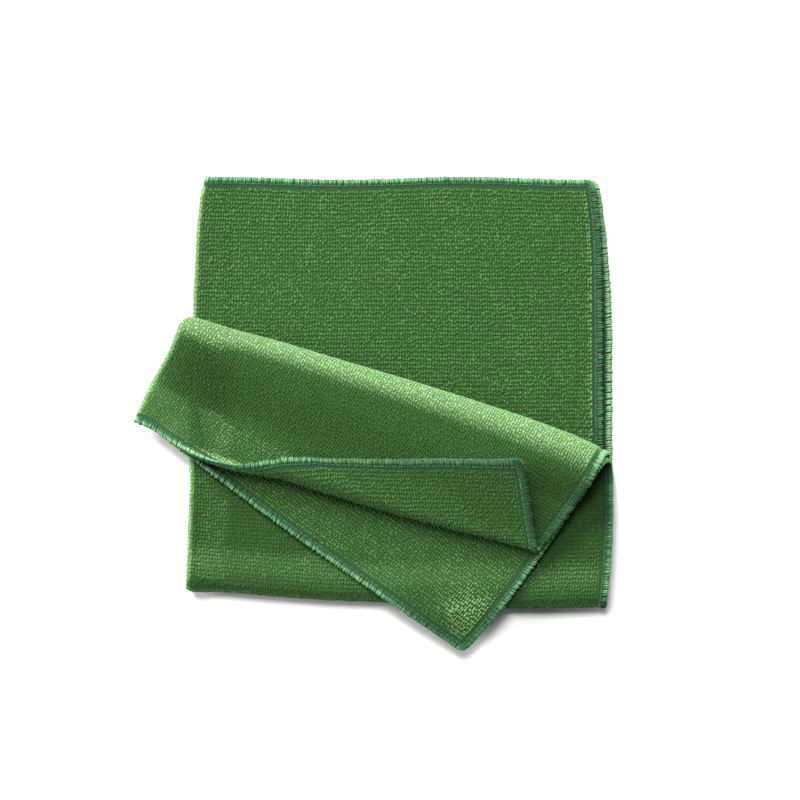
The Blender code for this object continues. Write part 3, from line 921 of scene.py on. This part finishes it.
def needle_threads():
    count = round(HEM_LENGTH / STITCH)
    k = np.repeat(np.arange(count), len(ARCH[0]))
    height = np.tile(ARCH[1], count) * MM
    s = (k + np.tile(ARCH[0], count)) * HEM_LENGTH / count
    u, v = edge_point(s, np.full_like(s, NEEDLE_IN))
    upper, _, _, n = place(u, v, height)
    lower = place(u, v, -height)[0]
    pieces = []
    for name, points in (("hem_needle_thread_up", upper), ("hem_needle_thread_down", lower)):
        piece = strand(name, points, n, NEEDLE_RADIUS, NEEDLE_SIDES)
        flat = np.repeat(np.stack((s / HEM_LENGTH, s * 0.0 + 0.5), -1), NEEDLE_SIDES, 0)
        each = len(ARCH[0]) * NEEDLE_SIDES
        add_map(piece, "cloth", flat)
        add_values(piece, "loop", np.repeat(draw.uniform(0.0, 1.0, count), each))
        add_values(piece, "tip", np.full(count * each, NEEDLE_TIP))
        add_values(piece, "painted_light", np.zeros(count * each))
        pieces.append(piece)
    return pieces


hem_pieces = [looper_thread(), *needle_threads()]
for piece in hem_pieces:
    print(piece.name, triangles(piece), "triangles")

# %% [markdown]
# ## Materials
#
# The yarn is dyed one green. What makes the cloth look lively is that light gets lost between the
# loops, that no two loops hold the same amount of dye or lie the same way, and that the fine fibres
# catch light at a grazing angle. So the colour is darker at the foot of each loop and differs a little
# from loop to loop and, more slowly, over the cloth; and every finish has a sheen.
#
# A small class lets such rules be written as ordinary arithmetic. Each sign adds a node.

# %% Writing materials as arithmetic
class Value:
    """A number or a colour on its way through a material."""

    def __init__(self, material, socket):
        self.material, self.socket = material, socket

    def _math(self, operation, *others, clamp=False):
        return node(self.material, "ShaderNodeMath", others, first=self, operation=operation,
                    use_clamp=clamp)

    def __add__(self, other):
        return self._math("ADD", other)

    def __sub__(self, other):
        return self._math("SUBTRACT", other)

    def __mul__(self, other):
        return self._math("MULTIPLY", other)

    def __truediv__(self, other):
        return self._math("DIVIDE", other)

    def __rsub__(self, other):
        return (self * -1.0)._math("ADD", other)

    def clamped(self):
        return self._math("ADD", 0.0, clamp=True)

    def at_most(self, other):
        return self._math("MINIMUM", other)

    def sine(self):
        return self._math("SINE")


def set_socket(material, socket, value):
    """A value that is on its way is linked; any other is set."""
    if isinstance(value, Value):
        material.node_tree.links.new(value.socket, socket)
    elif value is not None:
        socket.default_value = value


def node(material, kind, inputs=(), first=None, out=0, **settings):
    """Adds a node; inputs are values, links, or None to leave one as it is."""
    made = material.node_tree.nodes.new(kind)
    for key, value in settings.items():
        setattr(made, key, value)
    given = ([first] if first is not None else []) + list(inputs)
    for socket, value in zip(made.inputs, given):
        set_socket(material, socket, value)
    return Value(material, made.outputs[out])


def mix(material, share, a, b):
    """Colour a where share is 0 and b where it is 1."""
    made = material.node_tree.nodes.new("ShaderNodeMix")
    made.data_type = "RGBA"
    for number, value in ((0, share), (6, a), (7, b)):     # the colour sockets of this node
        set_socket(material, made.inputs[number], value)
    return Value(material, made.outputs[2])


def flat_place(material):
    """The place on the flat cloth, from the piece's own map."""
    return node(material, "ShaderNodeUVMap", uv_map="cloth")


def noise(material, scale):
    """Soft noise over the flat cloth, about 0.5; scale is in patches a metre."""
    made = node(material, "ShaderNodeTexNoise", (flat_place(material),))
    made.socket.node.inputs["Scale"].default_value = scale * SIDE
    made.socket.node.inputs["Detail"].default_value = 2.0
    return made


def attribute(material, name):
    return node(material, "ShaderNodeAttribute", out=2, attribute_name=name)


# %% [markdown]
# ## Finishes
#
# The pile and the threads share one rule in different greens. A loop gets painted shade at its foot and
# where its face turns away from the lights, and a painted highlight where it turns towards them. The
# ground is painted dark, as shade, since little light reaches it, with a bump in the rhythm of the knit.

# %% Colours
def colour_of(red, green, blue):
    return (red, green, blue, 1.0)


# The darkest green of each set stands for painted shade and the palest for a painted highlight; the middle
# and tip greens are the yarn's own, and the tip one also carries painted highlight on each loop's top.
PILE_SHADE = colour_of(0.012, 0.037, 0.007)
PILE_MID = colour_of(0.025, 0.070, 0.017)
PILE_TIP = colour_of(0.064, 0.147, 0.043)
PILE_HIGHLIGHT = colour_of(0.184, 0.320, 0.134)
THREAD_SHADE = colour_of(0.010, 0.038, 0.017)
THREAD_MID = colour_of(0.034, 0.106, 0.048)
THREAD_TIP = colour_of(0.112, 0.250, 0.118)
THREAD_HIGHLIGHT = colour_of(0.160, 0.300, 0.155)
FABRIC = {"Roughness": 0.9, "Specular IOR Level": 0.1, "Sheen Weight": 0.35, "Sheen Roughness": 0.45,
          "Sheen Tint": colour_of(0.50, 1.00, 0.36)}


# %% Finishes
def new_finish(name, values):
    """A material and its shader, with those sockets set."""
    material = bpy.data.materials.new(name)
    material.use_nodes = True
    shader = material.node_tree.nodes["Principled BSDF"]
    for socket, value in values.items():
        shader.inputs[socket].default_value = value
    return material, shader


def highlight_share(turned):
    """How much painted highlight shows, from the number that carries the painted light."""
    return (turned * 1.9 - 0.13).clamped()


def pile_finish(name, shade_colour, middle, tip, highlight_colour):
    material, shader = new_finish(name, FABRIC)
    loop = attribute(material, "loop")
    height = attribute(material, "tip")
    clump = noise(material, 420.0)
    slow = noise(material, 60.0)
    # random tone of each loop and of patches, plus painted highlight towards each loop's top
    tone_and_tip_light = (height * 0.80 + loop * 0.70 + clump * 1.3 + slow * 0.9 - 1.53).clamped()
    # painted shade at each loop's foot, where little light reaches
    foot = (height * 1.35).clamped()
    colour = mix(material, tone_and_tip_light, middle, tip)
    turned = attribute(material, "painted_light")
    # painted shade where a face turns away from the lights
    colour = mix(material, (turned * -1.7).clamped(), colour, shade_colour)
    colour = mix(material, foot, shade_colour, colour)
    # painted highlight where a face turns towards the lights
    shown = highlight_share(turned) * (loop * 0.2 + 0.8) * (foot * 0.5 + 0.5)
    colour = mix(material, shown, colour, highlight_colour)
    set_socket(material, shader.inputs["Base Color"], colour)
    return material


def ground_finish():
    """Painted shade between the loops, lighter on the stitches, a little painted highlight by the way the
    face is turned, and the thread's shade green along the hem.
    """
    material, shader = new_finish("ground", FABRIC)
    parts = node(material, "ShaderNodeSeparateXYZ", (flat_place(material),))
    u, v = (Value(material, parts.socket.node.outputs[i]) for i in (0, 1))
    wales = (u * (2.0 * np.pi * SIDE / WALE)).sine()
    courses = (v * (2.0 * np.pi * SIDE / COURSE)).sine()
    stitch = (wales * courses * 0.5 + 0.5 + (noise(material, 900.0) - 0.5) * 0.8).clamped()
    edge = u.at_most(1.0 - u).at_most(v.at_most(1.0 - v))
    hem = (1.0 - (edge * SIDE - HEM_WIDTH * 0.9) / 0.0006).clamped()
    colour = mix(material, stitch * 0.55, PILE_SHADE, PILE_MID)
    colour = mix(material, highlight_share(attribute(material, "painted_light")) * 0.35, colour, PILE_HIGHLIGHT)
    colour = mix(material, hem, colour, THREAD_SHADE)
    set_socket(material, shader.inputs["Base Color"], colour)
    bump = node(material, "ShaderNodeBump")
    bump.socket.node.inputs["Strength"].default_value = 0.6
    bump.socket.node.inputs["Distance"].default_value = 0.0006
    set_socket(material, bump.socket.node.inputs["Height"], stitch)
    set_socket(material, shader.inputs["Normal"], bump)
    return material


pile_material = pile_finish("microfibre pile", PILE_SHADE, PILE_MID, PILE_TIP, PILE_HIGHLIGHT)
thread_material = pile_finish("hem thread", THREAD_SHADE, THREAD_MID, THREAD_TIP, THREAD_HIGHLIGHT)
ground.data.materials.append(ground_finish())
for piece in pile_pieces:
    piece.data.materials.append(pile_material)
for piece in hem_pieces:
    piece.data.materials.append(thread_material)
print("finishes:", [material.name for material in bpy.data.materials])

# %% [markdown]
# ## Floor and light
#
# The floor is a plain white sweep. One large soft light stands behind the cloth and to its left, low
# enough to rake over the pile. A second one, nearly overhead, keeps the floor white, a third rims the
# cloth's left side, and a weak one lifts its right side. The white room fills the shadows.

# %% Studio
WHITE = 0.86
FLOOR_SIZE, FLOOR_DROP = 6.0, 0.0003
LIGHT_AWAY = 2.2
ROOM = 0.14


def floor():
    bpy.ops.object.select_all(action="DESELECT")
    bpy.ops.mesh.primitive_plane_add(size=FLOOR_SIZE, location=(0.0, 0.0, -FLOOR_DROP))
    made = bpy.context.object
    made.name = "floor"
    plain = {"Base Color": colour_of(WHITE, WHITE, WHITE), "Roughness": 0.8, "Specular IOR Level": 0.1}
    made.data.materials.append(new_finish("white floor", plain)[0])


def soft_light(name, azimuth, elevation, size, strength):
    """A square softbox aimed at the cloth. Strength is the brightness that it alone gives to a white
    surface facing it."""
    way = Vector(towards(azimuth, elevation))
    lamp = bpy.data.lights.new(name, "AREA")
    lamp.size = size
    lamp.energy = strength * (np.pi * LIGHT_AWAY) ** 2 / WHITE
    made = bpy.data.objects.new(name, lamp)
    made.location = way * LIGHT_AWAY
    made.rotation_euler = way.to_track_quat("Z", "Y").to_euler()
    bpy.context.scene.collection.objects.link(made)
    print("light", name, "gives", round(lamp.energy), "W")


floor()
soft_light("back", -30.0, 34.0, 0.9, 1.95)
soft_light("overhead", -10.0, 66.0, 0.8, 1.05)
soft_light("left", -85.0, 22.0, 0.8, 0.90)
soft_light("right", 60.0, 20.0, 0.8, 0.12)
world = bpy.data.worlds.new("room")
world.use_nodes = True
world.node_tree.nodes["Background"].inputs["Color"].default_value = (1.0, 1.0, 1.0, 1.0)
world.node_tree.nodes["Background"].inputs["Strength"].default_value = ROOM
bpy.context.scene.world = world
bpy.context.scene.view_settings.view_transform = "Standard"

# %% [markdown]
# ## Camera
#
# The camera hangs over the cloth and looks straight down, so its lens follows from height and view.

# %% Camera
CAMERA_HEIGHT = 2.2
PICTURE = 0.390                    # width of the view at the cloth
SENSOR = 36.0                      # millimetres, as Blender counts lenses
camera = bpy.data.objects.new("camera", bpy.data.cameras.new("camera"))
bpy.context.scene.collection.objects.link(camera)
bpy.context.scene.camera = camera
camera.data.sensor_width = SENSOR
camera.data.lens = SENSOR * CAMERA_HEIGHT / PICTURE
camera.data.dof.use_dof = False
camera.location = (0.0130, 0.0081, CAMERA_HEIGHT)
print("lens:", round(camera.data.lens, 1), "mm")

# %% [markdown]
# ## Handing over
#
# Everything moves with the one CAD body. The ground stands for the CAD sheet, and the pile and the hem
# are pieces that go with it.

# %% Hand over
for piece in [ground, *pile_pieces, *hem_pieces]:
    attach(piece, "root")
    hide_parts("cloth")
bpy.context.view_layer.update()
print("triangles in all:", sum(triangles(piece) for piece in [ground, *pile_pieces, *hem_pieces]))
